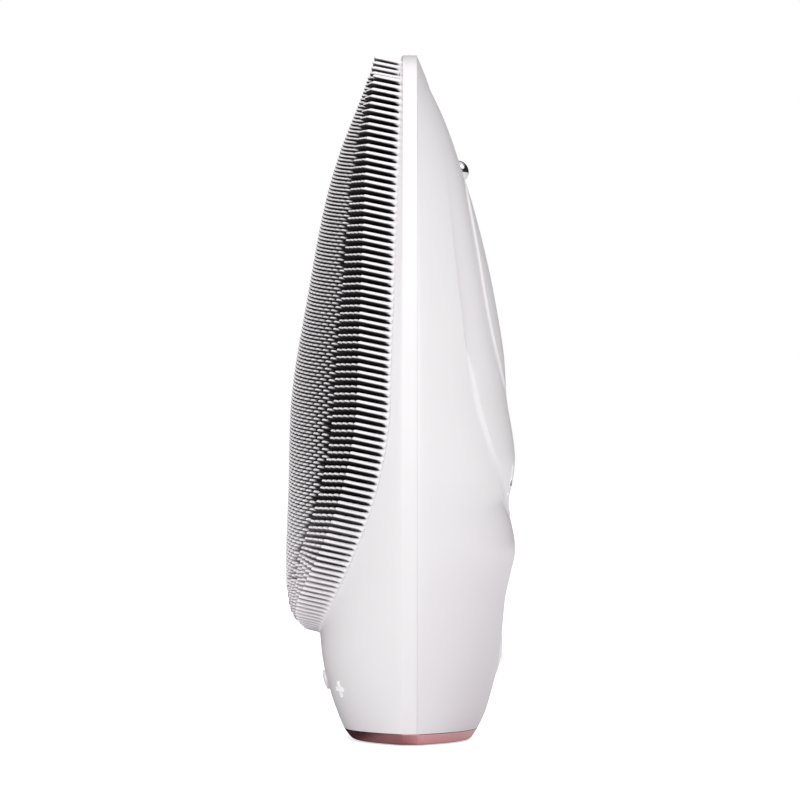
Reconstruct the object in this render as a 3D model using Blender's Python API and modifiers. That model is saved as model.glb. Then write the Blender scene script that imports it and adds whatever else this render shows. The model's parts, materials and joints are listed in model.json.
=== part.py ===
"""Facial cleansing brush: a hollow two-shell body with a silicone brush pad on its front.

Frame: +X to the side, -Y out of the bristles, +Y out of the back, +Z up.
The origin is the centre of the flat face that the brush stands on.
"""
import math

import bmesh
import bpy
from mathutils import Matrix, Vector

MM = 0.001
GAP = 0.3 * MM

# Outline of the body, seen from the front.
WIDEST_Z = 62.0 * MM
WIDEST_X = 36.3 * MM
TOP_Z = 126.3 * MM
BASE_X = 23.2 * MM
TOP_SQUARENESS = 3.2
FLARE = 2.3

# Depth of the body at its centre: (height, distance from the parting plane's datum).
FRONT_DEPTH = [(0, 10.7), (2, 12.2), (9, 14.8), (16, 16.3), (30, 17.0), (46, 16.5), (62, 15.9),
               (80, 13.0), (99, 9.3), (117, 3.6), (126, 1.4)]
BACK_DEPTH = [(0, 11.2), (2, 12.5), (9, 15.1), (20, 17.0), (34, 19.2), (43, 18.5), (51, 19.1),
              (62, 17.9), (74, 16.8), (90, 13.7), (106, 9.2), (118, 4.6), (126, 1.5)]
SECTION_FULLNESS = 2.5
FACET_FRONT_Y = -1.3 * MM
SEAM_Y = 1.2 * MM

# Shells and base.
WALL = 1.8 * MM
PAD_SKIN = 1.6 * MM
CAP_TOP_Z = 1.85 * MM
SHELL_BOTTOM_Z = CAP_TOP_Z + GAP
SHELL_TOP_Z = 126.0 * MM
CAVITY_X = 31.0 * MM
CAVITY_MID_Z = 52.0 * MM
CAVITY_UP = 58.0 * MM
CAVITY_DOWN = 54.0 * MM
SPIGOT = (13.0 * MM, 4.5 * MM)
SPIGOT_TOP_Z = 4.4 * MM

# Brush pad.
PAD_X = 34.0 * MM
PAD_UP = 62.3 * MM
PAD_DOWN = 41.5 * MM
PAD_POINT = 1.85
BRISTLE = 6.4 * MM
BRISTLE_TILT = math.radians(12)

# Inside.
FRAME_HALF_Y = 0.8 * MM
FRONT_BOARD_Y = -6.6 * MM
REAR_BOARD_Y = 10.1 * MM
MOTOR_Y = 7.4 * MM
MOTOR_R = 5.0 * MM
BALL_R = 2.07 * MM
BALL_AT = Vector((0.0, 8.76 * MM, 104.3 * MM))
CONTACT_X = 5.0 * MM
BASE_SCREW_X = 10.0 * MM
BOSS_X = 19.0 * MM
BOSS_Z = (40.0 * MM, 92.0 * MM)
LIGHT_X = 9.0 * MM
LIGHT_Z = 47.0 * MM

PALETTE = {
    "pearl": ((0.86, 0.85, 0.86, 1), 0.32, 0.0),
    "silicone": ((0.88, 0.86, 0.87, 1), 0.55, 0.0),
    "rose_gold": ((0.66, 0.36, 0.35, 1), 0.28, 1.0),
    "chrome": ((0.85, 0.85, 0.86, 1), 0.08, 1.0),
    "steel": ((0.55, 0.56, 0.58, 1), 0.35, 1.0),
    "brass": ((0.75, 0.56, 0.25, 1), 0.35, 1.0),
    "gold_plate": ((0.83, 0.62, 0.30, 1), 0.25, 1.0),
    "nylon": ((0.70, 0.71, 0.73, 1), 0.5, 0.0),
    "board": ((0.03, 0.20, 0.09, 1), 0.45, 0.0),
    "black": ((0.03, 0.03, 0.035, 1), 0.5, 0.0),
    "seal": ((0.35, 0.34, 0.36, 1), 0.7, 0.0),
    "cell": ((0.35, 0.45, 0.62, 1), 0.4, 0.0),
    "lens": ((0.80, 0.88, 0.95, 1), 0.2, 0.0),
    "wire_red": ((0.55, 0.05, 0.04, 1), 0.5, 0.0),
}


# ---------------------------------------------------------------- scene helpers

def clear_scene():
    for obj in list(bpy.data.objects):
        bpy.data.objects.remove(obj, do_unlink=True)


def new_collection(name):
    made = bpy.data.collections.new(name)
    bpy.context.scene.collection.children.link(made)
    return made


def make_material(name, colour, roughness, metallic):
    mat = bpy.data.materials.new(name)
    mat.use_nodes = True
    shader = mat.node_tree.nodes["Principled BSDF"]
    shader.inputs["Base Color"].default_value = colour
    shader.inputs["Roughness"].default_value = roughness
    shader.inputs["Metallic"].default_value = metallic
    mat.diffuse_color = colour
    return mat


def own_material(node, finish):
    """Each piece has a material of its own, named for the piece."""
    return make_material(node + "_" + finish, *PALETTE[finish])


def link_mesh(name, bm, finish=None, parent=None):
    """Turn a bmesh into a part (with a finish) or into a hidden cutter (without one)."""
    bmesh.ops.recalc_face_normals(bm, faces=bm.faces)
    mesh = bpy.data.meshes.new(name)
    bm.to_mesh(mesh)
    bm.free()
    mesh.shade_smooth()
    mesh.set_sharp_from_angle(angle=math.radians(35))
    obj = bpy.data.objects.new(name, mesh)
    finish_object(obj, finish, parent)
    return obj


def finish_object(obj, finish, parent):
    if finish is None:
        CUTTERS.objects.link(obj)
        obj.hide_render = True
        obj.display_type = "WIRE"
    else:
        PARTS.objects.link(obj)
        obj.data.materials.append(own_material(obj.name, finish))
    if parent is not None:
        obj.parent = parent


def frame_empty(name, matrix):
    empty = bpy.data.objects.new(name, None)
    empty.empty_display_size = 0.004
    PARTS.objects.link(empty)
    empty.matrix_world = matrix
    return empty


def boolean(obj, tool, operation="DIFFERENCE"):
    mod = obj.modifiers.new(operation.lower() + "_" + tool.name, "BOOLEAN")
    mod.operation = operation
    mod.solver = "EXACT"
    mod.object = tool


# ---------------------------------------------------------------- simple solids

Y_FROM_Z = Matrix(((1, 0, 0, 0), (0, 0, 1, 0), (0, 1, 0, 0), (0, 0, 0, 1)))


def box(name, low, high, finish=None, parent=None, bevel=0.0):
    bm = bmesh.new()
    size = [b - a for a, b in zip(low, high)]
    middle = [(a + b) / 2 for a, b in zip(low, high)]
    bmesh.ops.create_cube(bm, size=1.0)
    bmesh.ops.scale(bm, vec=size, verts=bm.verts)
    bmesh.ops.translate(bm, vec=middle, verts=bm.verts)
    obj = link_mesh(name, bm, finish, parent)
    if bevel:
        mod = obj.modifiers.new("rounded_edges", "BEVEL")
        mod.width = bevel
        mod.segments = 2
        mod.limit_method = "ANGLE"
    return obj


def cylinder(name, radius, low, high, finish=None, parent=None, centre=(0, 0), axis="Z", segments=24):
    bm = bmesh.new()
    bmesh.ops.create_cone(bm, cap_ends=True, segments=segments, radius1=radius, radius2=radius,
                          depth=high - low)
    bmesh.ops.translate(bm, vec=(centre[0], centre[1], (low + high) / 2), verts=bm.verts)
    if axis == "Y":
        bmesh.ops.transform(bm, matrix=Y_FROM_Z, verts=bm.verts)
    return link_mesh(name, bm, finish, parent)


def sphere(name, radius, finish=None, parent=None):
    bm = bmesh.new()
    bmesh.ops.create_uvsphere(bm, u_segments=24, v_segments=14, radius=radius)
    return link_mesh(name, bm, finish, parent)


def turned(name, profile, finish=None, parent=None, at=(0, 0, 0), closed=False, steps=24):
    """A lathe piece: (radius, height) pairs run down the outer side, from top to bottom."""
    bm = bmesh.new()
    verts = [bm.verts.new((radius, 0, height)) for radius, height in profile]
    for first, second in zip(verts, verts[1:]):
        bm.edges.new((first, second))
    if closed:
        bm.edges.new((verts[-1], verts[0]))
    mesh = bpy.data.meshes.new(name)
    bm.to_mesh(mesh)
    bm.free()
    obj = bpy.data.objects.new(name, mesh)
    obj.location = at
    screw = obj.modifiers.new("lathe", "SCREW")
    screw.steps = steps
    screw.render_steps = steps
    screw.use_merge_vertices = True
    screw.merge_threshold = 0.00001
    finish_object(obj, finish, parent)
    return obj


def ring_profile(inner, outer, low, high):
    return [(outer, high), (outer, low), (inner, low), (inner, high)]


def disc_profile(radius, low, high):
    return [(0, high), (radius, high), (radius, low), (0, low)]


def flat_ring(name, outer, inner, low, high, finish=None):
    """A flat oval ring: outer and inner are (half length, half width)."""
    curve = bpy.data.curves.new(name, "CURVE")
    curve.dimensions = "2D"
    curve.fill_mode = "BOTH"
    curve.extrude = (high - low) / 2
    for half_x, half_y in (outer, inner):
        spline = curve.splines.new("POLY")
        count = 40
        spline.points.add(count - 1)
        spline.use_cyclic_u = True
        for i, point in enumerate(spline.points):
            turn = 2 * math.pi * i / count
            point.co = (half_x * math.cos(turn), half_y * math.sin(turn), 0, 1)
    return mesh_from_curve(name, curve, finish, Matrix.Translation((0, 0, (low + high) / 2)))


def cord(name, route, radius, finish):
    curve = bpy.data.curves.new(name, "CURVE")
    curve.dimensions = "3D"
    curve.bevel_depth = radius
    curve.bevel_resolution = 2
    curve.use_fill_caps = True
    spline = curve.splines.new("POLY")
    spline.points.add(len(route) - 1)
    for point, place in zip(spline.points, route):
        point.co = (*place, 1)
    return mesh_from_curve(name, curve, finish, Matrix.Identity(4))


def mesh_from_curve(name, curve, finish, matrix):
    source = bpy.data.objects.new(name + "_source", curve)
    bpy.context.scene.collection.objects.link(source)
    source.matrix_world = matrix
    graph = bpy.context.evaluated_depsgraph_get()
    mesh = bpy.data.meshes.new_from_object(source.evaluated_get(graph))
    bpy.data.objects.remove(source, do_unlink=True)
    bm = bmesh.new()
    bm.from_mesh(mesh)
    bmesh.ops.remove_doubles(bm, verts=bm.verts, dist=0.00001)
    bmesh.ops.transform(bm, matrix=matrix, verts=bm.verts)
    return link_mesh(name, bm, finish)


def smooth_route(stops, pieces=8):
    """Points along a Catmull-Rom curve through hand-picked stops."""
    places = [Vector(stop) for stop in stops]
    padded = [places[0]] + places + [places[-1]]
    route = []
    for a, b, c, d in zip(padded, padded[1:], padded[2:], padded[3:]):
        for i in range(pieces):
            t = i / pieces
            route.append(0.5 * (2 * b + (c - a) * t + (2 * a - 5 * b + 4 * c - d) * t * t
                                + (3 * b - a - 3 * c + d) * t ** 3))
    return route + [places[-1]]


# ---------------------------------------------------------------- the body's surfaces

def depth_at(stations, z):
    """Smooth curve through (height, depth) stations in millimetres; z and the result are in metres."""
    height = min(max(z / MM, stations[0][0]), stations[-1][0])
    last = len(stations) - 2
    i = min(max(k for k in range(len(stations)) if stations[k][0] <= height), last)
    (z0, d0), (z1, d1) = stations[i], stations[i + 1]
    before, after = stations[max(i - 1, 0)], stations[min(i + 2, last + 1)]
    slope0 = (d1 - before[1]) / (z1 - before[0])
    slope1 = (after[1] - d0) / (after[0] - z0)
    step = z1 - z0
    t = (height - z0) / step
    return MM * ((2 * t ** 3 - 3 * t ** 2 + 1) * d0 + (t ** 3 - 2 * t ** 2 + t) * step * slope0
                 + (3 * t ** 2 - 2 * t ** 3) * d1 + (t ** 3 - t ** 2) * step * slope1)


def half_width(z):
    """Half the body's width: a squared arch above the widest level, a flare below it."""
    if z >= WIDEST_Z:
        rise = min((z - WIDEST_Z) / (TOP_Z - WIDEST_Z), 1.0)
        return WIDEST_X * (1 - rise ** TOP_SQUARENESS) ** (1 / TOP_SQUARENESS)
    fall = 1 - max(z, 0) / WIDEST_Z
    return WIDEST_X - (WIDEST_X - BASE_X) * fall ** FLARE


def fullness(x, z):
    return 1 - min(abs(x) / half_width(z), 1.0) ** SECTION_FULLNESS


def front_face(x, z):
    return FACET_FRONT_Y - (depth_at(FRONT_DEPTH, z) + FACET_FRONT_Y) * fullness(x, z)


def back_face(x, z):
    return SEAM_Y + (depth_at(BACK_DEPTH, z) - SEAM_Y) * fullness(x, z)


def pad_half_width(z, grow=0.0):
    if z >= WIDEST_Z:
        rise = min((z - WIDEST_Z) / (PAD_UP + grow), 1.0)
        return (PAD_X + grow) * (1 - rise ** TOP_SQUARENESS) ** (1 / TOP_SQUARENESS)
    fall = min((WIDEST_Z - z) / (PAD_DOWN + grow), 1.0)
    return (PAD_X + grow) * (1 - fall ** PAD_POINT) ** (1 / PAD_POINT)


def cavity_half_width(z):
    reach = CAVITY_UP if z >= CAVITY_MID_Z else CAVITY_DOWN
    return CAVITY_X * (1 - min(abs(z - CAVITY_MID_Z) / reach, 1.0) ** 3) ** (1 / 3)


def pad_depth(z):
    """How deep the pad's skin is let into the front shell: thinner where the body wedges out."""
    thinning = min(max((z - 95 * MM) / (28 * MM), 0), 1)
    return PAD_SKIN * (1 - 0.45 * thinning)


def front_wall(z):
    """The wall is thicker where the pad's recess is let into it."""
    blend = min(max((z - 16 * MM) / (6 * MM), 0), 1)
    return WALL + blend * (PAD_SKIN + GAP)


def heights(low, middle, high, below, above):
    """Stations that crowd together towards both ends."""
    lower = [middle - (middle - low) * math.cos(0.5 * math.pi * i / below) for i in range(below)]
    upper = [middle + (high - middle) * math.sin(0.5 * math.pi * i / above) for i in range(above + 1)]
    return lower + upper


def surface_grid(stations, width, depth, columns):
    rows = []
    for z in stations:
        reach = width(z)
        line = [reach * (2 * i / columns - 1) for i in range(columns + 1)]
        rows.append([(x, depth(x, z), z) for x in line])
    return rows


def solid_between(name, front, back, finish=None):
    """Loft between two grids of points that share their rows and columns."""
    bm = bmesh.new()
    sheets = [[[bm.verts.new(place) for place in row] for row in grid] for grid in (front, back)]
    for sheet in sheets:
        for low, high in zip(sheet, sheet[1:]):
            for i in range(len(low) - 1):
                bm.faces.new((low[i], low[i + 1], high[i + 1], high[i]))
    near, far = sheets
    for i in range(len(near) - 1):
        for edge in (0, -1):
            bm.faces.new((near[i][edge], near[i + 1][edge], far[i + 1][edge], far[i][edge]))
    for end in (0, -1):
        for i in range(len(near[end]) - 1):
            bm.faces.new((near[end][i], near[end][i + 1], far[end][i + 1], far[end][i]))
    bmesh.ops.recalc_face_normals(bm, faces=bm.faces)
    bmesh.ops.dissolve_limit(bm, angle_limit=math.radians(0.1), verts=bm.verts, edges=bm.edges)
    return link_mesh(name, bm, finish)


def surface_frame(x, z, face, outward):
    """A frame on the body's surface whose Z points straight out of it."""
    step = 0.2 * MM
    slope_x = (face(x + step, z) - face(x - step, z)) / (2 * step)
    slope_z = (face(x, z + step) - face(x, z - step)) / (2 * step)
    normal = outward * Vector((-slope_x, 1, -slope_z)).normalized()
    side = Vector((0, 0, 1)).cross(normal).normalized()
    up = normal.cross(side)
    turn = Matrix((side, up, normal)).transposed()
    return Matrix.Translation((x, face(x, z), z)) @ turn.to_4x4()


# ---------------------------------------------------------------- casing

BODY_HEIGHTS = heights(SHELL_BOTTOM_Z, WIDEST_Z, SHELL_TOP_Z, 9, 13)
CAVITY_HEIGHTS = heights(-1.5 * MM, CAVITY_MID_Z, CAVITY_MID_Z + 0.98 * CAVITY_UP, 13, 8)


def pad_heights(grow=0.0):
    low = WIDEST_Z - (PAD_DOWN + grow) * 0.995
    high = WIDEST_Z + (PAD_UP + grow) * 0.997
    return heights(low, WIDEST_Z, high, 8, 9)


def front_shell():
    front = surface_grid(BODY_HEIGHTS, half_width, front_face, 16)
    seam = surface_grid(BODY_HEIGHTS, half_width, lambda x, z: SEAM_Y - GAP / 2, 16)
    shell = solid_between("front_shell", front, seam, "pearl")
    inner = surface_grid(CAVITY_HEIGHTS, cavity_half_width, lambda x, z: front_face(x, z) + front_wall(z), 10)
    open_side = surface_grid(CAVITY_HEIGHTS, cavity_half_width, lambda x, z: 6 * MM, 10)
    boolean(shell, solid_between("cut_front_cavity", inner, open_side))
    for side in (-1, 1):
        for level, z in zip(("low", "high"), BOSS_Z):
            add_frame_boss(shell, side, level, z)
    stations = pad_heights(GAP)

    def recess_width(z):
        return pad_half_width(z, GAP)

    floor = surface_grid(stations, recess_width, lambda x, z: front_face(x, z) + pad_depth(z) + GAP, 12)
    outside = surface_grid(stations, recess_width, lambda x, z: -40 * MM, 12)
    boolean(shell, solid_between("cut_pad_recess", floor, outside))
    return shell


def add_frame_boss(shell, side, level, z):
    """A pillar on the front wall that carries the inner frame, with a blind screw hole."""
    x = side * BOSS_X
    start = front_face(x, z) + 2.9 * MM
    label = "{}_{}".format("right" if side > 0 else "left", level)
    pillar = cylinder("add_boss_" + label, 2.4 * MM, start, -FRAME_HALF_Y - GAP, centre=(x, z), axis="Y")
    hole = cylinder("cut_boss_" + label, 1.1 * MM, -4.6 * MM, 0, centre=(x, z), axis="Y", segments=16)
    boolean(shell, pillar, "UNION")
    boolean(shell, hole)


def back_shell():
    seam = surface_grid(BODY_HEIGHTS, half_width, lambda x, z: SEAM_Y + GAP / 2, 16)
    back = surface_grid(BODY_HEIGHTS, half_width, lambda x, z: back_face(x, z) + GAP, 16)
    shell = solid_between("back_shell", seam, back, "pearl")
    open_side = surface_grid(CAVITY_HEIGHTS, cavity_half_width, lambda x, z: -6 * MM, 10)
    inner = surface_grid(CAVITY_HEIGHTS, cavity_half_width, lambda x, z: back_face(x, z) - WALL, 10)
    boolean(shell, solid_between("cut_back_cavity", open_side, inner))
    return shell


def brush_pad():
    """The silicone pad: its skin and, as one envelope, the bristles moulded on it."""
    stations = pad_heights()
    skin = surface_grid(stations, pad_half_width, lambda x, z: front_face(x, z) + pad_depth(z), 14)
    shift = BRISTLE * Vector((0, -math.cos(BRISTLE_TILT), math.sin(BRISTLE_TILT)))

    def tip(x, z):
        return tuple(Vector((x, front_face(x, z), z)) + shift * bristle_share(z))

    tips = [[tip(x, z) for x, y, z in row] for row in skin]
    return solid_between("brush_pad", skin, tips, "silicone")


def bristle_share(z):
    """Bristles get shorter towards the pad's top and bottom ends."""
    top = min(max((z - 108 * MM) / (16 * MM), 0), 1)
    bottom = min(max((26 * MM - z) / (6 * MM), 0), 1)
    return 1 - 0.16 * top - 0.2 * bottom


def base_cap():
    """The metal end cap: the body's own outline, drawn in a little, with a spigot for the gasket."""
    levels = (0.0, 0.35 * MM, CAP_TOP_Z)
    inset = {0.0: 0.35 * MM, 0.35 * MM: 0.0, CAP_TOP_Z: 0.0}

    def width(z):
        return half_width(z) - inset[z]

    front = surface_grid(levels, width, lambda x, z: front_face(x, z) + inset[z], 14)
    back = surface_grid(levels, width, lambda x, z: back_face(x, z) - inset[z], 14)
    cap = solid_between("base_cap", front, back, "rose_gold")
    plug = bmesh.new()
    bmesh.ops.create_cone(plug, cap_ends=True, segments=32, radius1=1, radius2=1, depth=SPIGOT_TOP_Z - MM)
    bmesh.ops.scale(plug, vec=(SPIGOT[0], SPIGOT[1], 1), verts=plug.verts)
    bmesh.ops.translate(plug, vec=(0, 0, (SPIGOT_TOP_Z + MM) / 2), verts=plug.verts)
    boolean(cap, link_mesh("add_spigot", plug), "UNION")
    for side in (-1, 1):
        label = "right" if side > 0 else "left"
        contact = (side * CONTACT_X, 0)
        screw = (side * BASE_SCREW_X, 0)
        boolean(cap, cylinder("cut_contact_" + label, 3.0 * MM, -MM, 6 * MM, centre=contact))
        boolean(cap, cylinder("cut_head_" + label, 1.7 * MM, -MM, 1.6 * MM, centre=screw, segments=16))
        boolean(cap, cylinder("cut_shank_" + label, 1.1 * MM, 0, 6 * MM, centre=screw, segments=16))
    return cap


def base_fittings():
    outer = (SPIGOT[0] + 2.2 * MM, SPIGOT[1] + 2.0 * MM)
    inner = (SPIGOT[0] + GAP, SPIGOT[1] + GAP)
    flat_ring("base_gasket", outer, inner, CAP_TOP_Z + GAP, 3.6 * MM, "seal")
    for side in (-1, 1):
        label = "right" if side > 0 else "left"
        contact = (side * CONTACT_X, 0, 0)
        turned("contact_seal_" + label, ring_profile(1.75 * MM, 2.7 * MM, 0.3 * MM, 3.2 * MM), "seal",
               at=contact, closed=True)
        turned("charge_contact_" + label, disc_profile(1.45 * MM, 0.2 * MM, 6.0 * MM), "gold_plate",
               at=contact)
        machine_screw("base_screw_" + label, 1.4 * MM, 0.8 * MM, 0.3 * MM, 1.3 * MM, 8.0 * MM,
                      Matrix.Translation((side * BASE_SCREW_X, 0, 0)))


def machine_screw(name, head_r, shank_r, head_low, head_high, tip, matrix):
    """A screw with its head at the low end, driven along +Z of its own frame."""
    profile = [(0, tip), (shank_r, tip - 0.4 * MM), (shank_r, head_high), (head_r, head_high),
               (head_r, head_low), (0.5 * head_r, head_low), (0.5 * head_r, head_low + 0.4 * MM),
               (0, head_low + 0.4 * MM)]
    screw = turned(name, profile, "steel", steps=16)
    screw.matrix_world = matrix
    return screw


# ---------------------------------------------------------------- keys

KEYS = {
    "plus": {"x": 13.4, "z": 9.6, "side": "front", "bars": 2, "proud": 0.25},
    "minus": {"x": -13.4, "z": 9.6, "side": "front", "bars": 1, "proud": 0.25},
    "mode": {"x": 0.0, "z": 10.7, "side": "front", "radius": 1.8, "proud": 0.45},
    "power": {"x": 0.0, "z": 15.3, "side": "back", "radius": 4.0, "proud": 0.15},
}
BAR_LONG = 3.1 * MM
BAR_WIDE = 0.8 * MM
KEY_TRAVEL = 0.35 * MM
FLANGE_TOP = -2.35 * MM
FLANGE_BOTTOM = -3.05 * MM
PLUNGER = (-3.95 * MM, FLANGE_BOTTOM - GAP)
SWITCH_TOP = PLUNGER[0] - KEY_TRAVEL - GAP
SWITCH_HALF = 1.6 * MM


def key_frame(spec):
    if spec["side"] == "front":
        return surface_frame(spec["x"] * MM, spec["z"] * MM, front_face, -1)
    return surface_frame(spec["x"] * MM, spec["z"] * MM, back_face, 1)


def make_key(label, spec, shell):
    matrix = key_frame(spec)
    pivot = frame_empty(label + "_key_frame", matrix)
    proud = spec["proud"] * MM
    if "bars" in spec:
        barred_key(label, spec["bars"], proud, pivot, shell)
    else:
        round_key(label, spec["radius"] * MM, proud, pivot, shell)
    turned(label + "_plunger", disc_profile(0.7 * MM, PLUNGER[0], PLUNGER[1]), "black", pivot, steps=16)
    board = FRONT_BOARD_Y if spec["side"] == "front" else REAR_BOARD_Y
    normal = matrix.col[2]
    reach = abs(board - matrix.translation.y) / abs(normal.y)
    tilt = math.acos(min(abs(normal.y), 1))
    bottom = -(reach - 1.42 * SWITCH_HALF * math.tan(tilt) - GAP)
    low, high = (-SWITCH_HALF, -SWITCH_HALF, bottom), (SWITCH_HALF, SWITCH_HALF, SWITCH_TOP)
    box(label + "_switch", low, high, "black", pivot)


def barred_key(label, bars, proud, pivot, shell):
    """A raised plus or minus that is itself the key, on a flange behind the wall."""
    long, wide = BAR_LONG / 2, BAR_WIDE / 2
    key = box(label + "_key", (-long, -wide, FLANGE_TOP - 0.4 * MM), (long, wide, proud), "silicone", pivot)
    clear_long, clear_wide = long + GAP, wide + GAP
    boolean(shell, box("cut_{}_bar".format(label), (-clear_long, -clear_wide, -3 * MM),
                       (clear_long, clear_wide, 2 * MM), parent=pivot))
    if bars == 2:
        boolean(key, box("add_{}_upright".format(label), (-wide, -long, FLANGE_TOP - 0.3 * MM),
                         (wide, long, proud), parent=pivot), "UNION")
        boolean(shell, box("cut_{}_upright".format(label), (-clear_wide, -clear_long, -3 * MM),
                           (clear_wide, clear_long, 2 * MM), parent=pivot))
    flange = cylinder("add_{}_flange".format(label), 2.4 * MM, FLANGE_BOTTOM, FLANGE_TOP, parent=pivot)
    boolean(key, flange, "UNION")


def round_key(label, radius, proud, pivot, shell):
    crown = proud + 0.12 * radius
    profile = [(0, crown), (0.5 * radius, proud + 0.08 * radius), (0.9 * radius, proud),
               (radius, proud - 0.12 * MM), (radius, FLANGE_TOP), (radius + 0.8 * MM, FLANGE_TOP),
               (radius + 0.8 * MM, FLANGE_BOTTOM), (0, FLANGE_BOTTOM)]
    turned(label + "_key", profile, "pearl", pivot, steps=32)
    boolean(shell, cylinder("cut_{}_key".format(label), radius + GAP, -3 * MM, 3 * MM, parent=pivot, segments=32))


# ---------------------------------------------------------------- electronics and drive

def inner_frame():
    """The upright plate that carries the motor, the cell and the boards."""
    plate = box("inner_frame", (-15 * MM, -FRAME_HALF_Y, 7 * MM), (15 * MM, FRAME_HALF_Y, 99 * MM), "nylon")
    wings = box("add_frame_wings", (-22 * MM, -FRAME_HALF_Y, 36 * MM), (22 * MM, FRAME_HALF_Y, 96 * MM))
    boolean(plate, wings, "UNION")
    for side in (-1, 1):
        label = "right" if side > 0 else "left"
        x = side * BASE_SCREW_X
        low, high = (x - 2.2 * MM, -2.4 * MM, 4.9 * MM), (x + 2.2 * MM, 2.4 * MM, 9.5 * MM)
        boolean(plate, box("add_foot_" + label, low, high), "UNION")
        boolean(plate, cylinder("cut_foot_" + label, 1.1 * MM, 4 * MM, 9 * MM, centre=(x, 0), segments=16))
        for level, z in zip(("low", "high"), BOSS_Z):
            hole = cylinder("cut_frame_{}_{}".format(label, level), 1.1 * MM, -2 * MM, 2 * MM,
                            centre=(side * BOSS_X, z), axis="Y", segments=16)
            boolean(plate, hole)
            turn = Matrix(((1, 0, 0), (0, 0, -1), (0, 1, 0))).to_4x4()
            place = Matrix.Translation((side * BOSS_X, FRAME_HALF_Y + GAP + MM, z)) @ turn
            machine_screw("frame_screw_{}_{}".format(label, level), 1.7 * MM, 0.8 * MM, 0.0, MM, 5.2 * MM, place)
    for z in (24 * MM, 58 * MM, 82 * MM):
        low, high = (-9 * MM, -2 * MM, z - 6 * MM), (9 * MM, 2 * MM, z + 6 * MM)
        boolean(plate, box("cut_window_{:.0f}".format(z / MM), low, high))
    return plate


def boards():
    low, high = (-16 * MM, FRONT_BOARD_Y, 7 * MM), (16 * MM, FRONT_BOARD_Y + 1.2 * MM, 24 * MM)
    box("front_board", low, high, "board")
    box("rear_board", (-13 * MM, REAR_BOARD_Y - MM, 8 * MM), (13 * MM, REAR_BOARD_Y, 52 * MM), "board")
    box("battery_cell", (-11 * MM, 1.5 * MM, 14 * MM), (11 * MM, 7.6 * MM, 56 * MM), "cell", bevel=0.8 * MM)


def indicator(shell, side):
    label = "right" if side > 0 else "left"
    x = side * LIGHT_X
    outer = back_face(x, LIGHT_Z) + GAP
    cylinder("indicator_lens_" + label, 0.55 * MM, 12.2 * MM, outer, "lens", centre=(x, LIGHT_Z), axis="Y",
             segments=16)
    boolean(shell, cylinder("cut_lens_" + label, 0.85 * MM, 12 * MM, 24 * MM, centre=(x, LIGHT_Z), axis="Y",
                            segments=16))
    low = (x - 0.9 * MM, REAR_BOARD_Y + GAP, LIGHT_Z - 0.9 * MM)
    high = (x + 0.9 * MM, REAR_BOARD_Y + 1.2 * MM, LIGHT_Z + 0.9 * MM)
    box("indicator_led_" + label, low, high, "lens")


def motor():
    at = (0, MOTOR_Y, 0)
    can = [(1.9 * MM, 80 * MM), (MOTOR_R, 80 * MM), (MOTOR_R, 64 * MM), (MOTOR_R - 0.7 * MM, 64 * MM),
           (MOTOR_R - 0.7 * MM, 79 * MM), (1.9 * MM, 79 * MM)]
    turned("motor_can", can, "steel", at=at, closed=True)
    turned("motor_end_cap", ring_profile(1.05 * MM, MOTOR_R, 62.4 * MM, 63.7 * MM), "black", at=at, closed=True)
    turned("motor_bush", ring_profile(1.05 * MM, 1.6 * MM, 78.6 * MM, 80.6 * MM), "brass", at=at, closed=True)
    spin = frame_empty("motor_axis", Matrix.Translation(at))
    turned("motor_shaft", disc_profile(0.75 * MM, 62.8 * MM, 89 * MM), "steel", spin, steps=16)
    turned("motor_core", ring_profile(1.05 * MM, 3.8 * MM, 65 * MM, 77.5 * MM), "brass", spin, closed=True)
    weight = cylinder("eccentric_weight", 4.2 * MM, 82 * MM, 88 * MM, "brass", spin, segments=32)
    low, high = (-6 * MM, -6 * MM, 81 * MM), (6 * MM, -0.6 * MM, 89 * MM)
    boolean(weight, box("cut_weight_half", low, high, parent=spin))
    boolean(weight, cylinder("add_weight_hub", 1.9 * MM, 82 * MM, 88 * MM, parent=spin), "UNION")
    boolean(weight, cylinder("cut_weight_bore", 1.05 * MM, 81 * MM, 89 * MM, parent=spin, segments=16))
    motor_clip()


def motor_clip():
    clip = cylinder("motor_clip", MOTOR_R + 1.3 * MM, 68 * MM, 76 * MM, "nylon", centre=(0, MOTOR_Y), segments=32)
    feet = box("add_clip_feet", (-9.5 * MM, 1.1 * MM, 68 * MM), (9.5 * MM, 2.4 * MM, 76 * MM))
    boolean(clip, feet, "UNION")
    bore = cylinder("cut_clip_bore", MOTOR_R + GAP, 67 * MM, 77 * MM, centre=(0, MOTOR_Y), segments=32)
    boolean(clip, bore)


def massage_ball(shell):
    """A steel ball that rolls between the shell's rim and a cup behind it."""
    normal = surface_frame(0, BALL_AT.z, back_face, 1).to_3x3()
    axis = frame_empty("ball_axis", Matrix.Translation(BALL_AT) @ normal.to_4x4())
    pocket = BALL_R + GAP
    sphere("massage_ball", BALL_R, "chrome", axis)
    boolean(shell, sphere("cut_ball_pocket", pocket, parent=axis))
    boolean(shell, cylinder("cut_ball_throat", pocket, -6 * MM, 0, parent=axis))
    rim = -1.3 * MM
    bowl = [(3.2 * MM, rim), (3.2 * MM, -3.6 * MM), (0, -3.6 * MM)]
    start = math.acos(-rim / pocket)
    arc = [(pocket * math.sin(start * i / 6), -pocket * math.cos(start * i / 6)) for i in range(7)]
    turned("ball_cup", list(arc) + bowl, "nylon", axis)


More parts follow.
